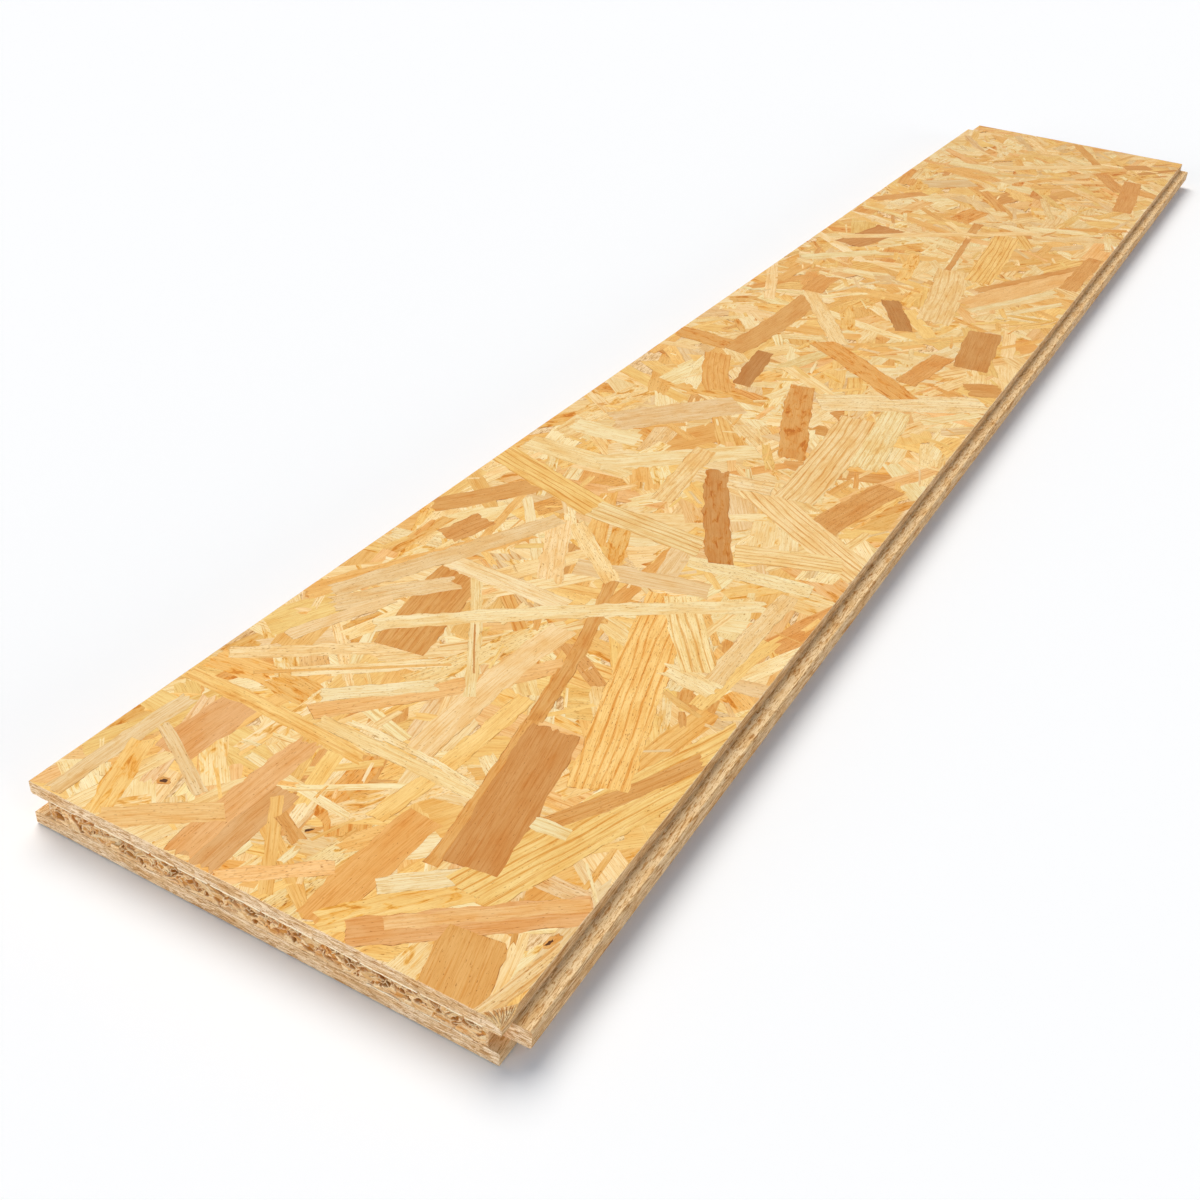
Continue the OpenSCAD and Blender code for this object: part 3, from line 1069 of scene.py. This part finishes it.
def end_core():
    """The core's torn end between the two skins: one surface with hollows, and curls across them."""
    rng = np.random.default_rng(CORE_SEED)
    cell = 0.22  # size of the torn surface's squares
    first, last = CORE_FROM + STUB, CORE_TO - STUB
    columns = round((last - first) / cell)
    rows = round((OPEN_TOP - CORE_Z0) / cell)
    across, height = np.meshgrid(
        np.linspace(first, last, columns + 1),
        np.linspace(CORE_Z0, OPEN_TOP, rows + 1),
        indexing="ij",
    )
    behind, tone, rim, sunk = torn_surface(rng, across, height)
    fade = 2.0  # the torn depth comes in over this width at either side
    share = np.clip(np.minimum(across - first, last - across) / fade, 0, 1)
    behind = np.clip(CORE_SETBACK * (1 - share) + behind * share, 0.1, RECESS - 0.5)

    # The torn surface, walls from its border to the bottom of the recess, and one face there
    number = np.arange(across.size).reshape(across.shape)
    squares = (number[:-1, :-1], number[1:, :-1], number[1:, 1:], number[:-1, 1:])
    faces = np.stack([corner.ravel() for corner in squares], axis=1).tolist()
    border = np.concatenate([number[:, 0], number[-1, 1:], number[-2::-1, -1], number[0, -2:0:-1]])
    bottom = across.size + np.arange(len(border))
    faces += wall(border, bottom) + [bottom[::-1].tolist()]
    front = np.stack([END_NEAR + behind, EDGE_GROOVE - across, height], axis=-1).reshape(-1, 3)
    behind_border = front[border]
    behind_border[:, 0] = END_NEAR + RECESS
    more = (0, len(border))
    full_shade_depth = 3.0  # the depth at which the painted shade in a hollow is darkest
    mesh = Mesh()
    mesh.add(
        np.vstack([front, behind_border]),
        faces,
        tone=np.pad(np.clip(tone.reshape(-1, 3), 0, 1), (more, (0, 1)), constant_values=1),
        rim=np.pad(rim.reshape(-1, 1), (more, (0, 0))),
        depth=np.pad(np.clip(sunk.reshape(-1, 1) / full_shade_depth, 0, 1), (more, (0, 0))),
    )
    curls(mesh, rng)
    lips(mesh, rng)
    splinters(mesh, rng)
    return mesh.build("end_core")


# -------- camera, floor and light


def direction(azimuth, elevation):
    """The unit vector this way, in degrees. Azimuth 0 is along the board, 90 to the groove's side."""
    turn, rise = math.radians(azimuth), math.radians(elevation)
    return Vector((math.cos(rise) * math.cos(turn), math.cos(rise) * math.sin(turn), math.sin(rise)))


def make_camera():
    """The camera stands before the near end, to the tongue's side, and is held a little askew."""
    before_end, aside, above = 251.0, 259.1, 382.3
    azimuth, elevation, askew = 26.98, 33.5, 4.34
    data = bpy.data.cameras.new("camera")
    data.sensor_width, data.lens = 36.0, 41.11
    data.clip_start = 0.01
    camera = add_object("camera", data)
    back = direction(180 + azimuth, elevation)
    level = Vector((0, 0, 1)).cross(back).normalized()
    upright = back.cross(level)
    roll = math.radians(askew)
    right = math.cos(roll) * level + math.sin(roll) * upright
    up = math.cos(roll) * upright - math.sin(roll) * level
    middle = (EDGE_GROOVE + EDGE_TONGUE) / 2
    place = Vector((END_NEAR - before_end, middle - aside, above)) * MM
    turn = Matrix((right, up, back)).transposed().to_4x4()
    camera.matrix_world = Matrix.Translation(place) @ turn
    bpy.context.scene.camera = camera


FILL = 0.26  # strength of the even light from all round
COOL = (0.80, 1.0, 1.25)  # its colour, which the key lamp makes up for
WARM = (1.0, 0.923, 0.827)  # the key lamp's colour
FLOOR_WHITE = (0.965, 0.972, 0.985)
FLOOR_GLOW = 0.04  # what the floor's own white adds where it is seen


def seen_directly(t):
    """1 for a ray that shows the background itself, and 0 for one that lights the object."""
    path = t.new("LightPath").outputs
    seen = t.math("MAXIMUM", path["Is Camera Ray"], path["Is Glossy Ray"])
    return t.math("MAXIMUM", seen, path["Is Transmission Ray"])


def make_world():
    """Even light from all round, which looks white wherever it is seen."""
    t = Tree(bpy.data.worlds.new("studio"))
    bpy.context.scene.world = t.owner
    seen = seen_directly(t)
    background = t.nodes["Background"].inputs
    t.put(background["Color"], t.mix(seen, COOL, (1, 1, 1)))
    t.put(background["Strength"], t.math("MULTIPLY_ADD", seen, 1 - FILL, FILL))


def make_floor():
    """A pale floor that is white where it is lit and keeps the board's shadow."""
    size, under = 8.0, -0.0001
    mesh = bpy.data.meshes.new("floor")
    ring = [(-size, -size, under), (size, -size, under), (size, size, under), (-size, size, under)]
    mesh.from_pydata(ring, [], [[0, 1, 2, 3]])
    t = Tree(bpy.data.materials.new("floor_white"))
    t.nodes.remove(t.nodes["Principled BSDF"])
    matt = t.new("BsdfDiffuse", (*FLOOR_WHITE, 1))
    glow = t.new("Emission")
    t.put(glow.inputs["Strength"], t.times(seen_directly(t), FLOOR_GLOW))
    both = t.new("AddShader", matt.outputs[0], glow.outputs[0])
    t.put(t.nodes["Material Output"].inputs["Surface"], both.outputs[0])
    mesh.materials.append(t.owner)
    add_object("floor", mesh)


def make_lamp(name, azimuth, elevation, spread, strength, colour=(1, 1, 1)):
    """A large soft lamp far away, which stands this way from the board."""
    data = bpy.data.lights.new(name, "SUN")
    data.angle = math.radians(spread)
    data.energy = strength
    data.color = colour
    away = direction(azimuth, elevation)
    add_object(name, data).matrix_world = away.to_track_quat("Z", "Y").to_matrix().to_4x4()


def make_lamps():
    """A key lamp behind the board to the left, and two low ones for the near end and the tongue."""
    make_lamp("key_lamp", azimuth=51, elevation=56, spread=44, strength=2.565, colour=WARM)
    make_lamp("end_lamp", azimuth=166, elevation=7, spread=25, strength=1.36)
    make_lamp("side_lamp", azimuth=255, elevation=9, spread=25, strength=0.70)


# -------- the whole board

bpy.context.scene.view_settings.view_transform = "Standard"
make_camera()
make_world()
make_floor()
make_lamps()

strand_material = strand_wood("pressed_strands")
pieces = {
    "body": milled_body(),
    "face": face_skin(),
    "underside": underside_skin(),
    "core": end_core(),
}
pieces["face"].data.materials.append(strand_material)
pieces["underside"].data.materials.append(strand_material)
pieces["core"].data.materials.append(core_wood())
for piece in pieces.values():
    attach(piece, "root")
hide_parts("board")
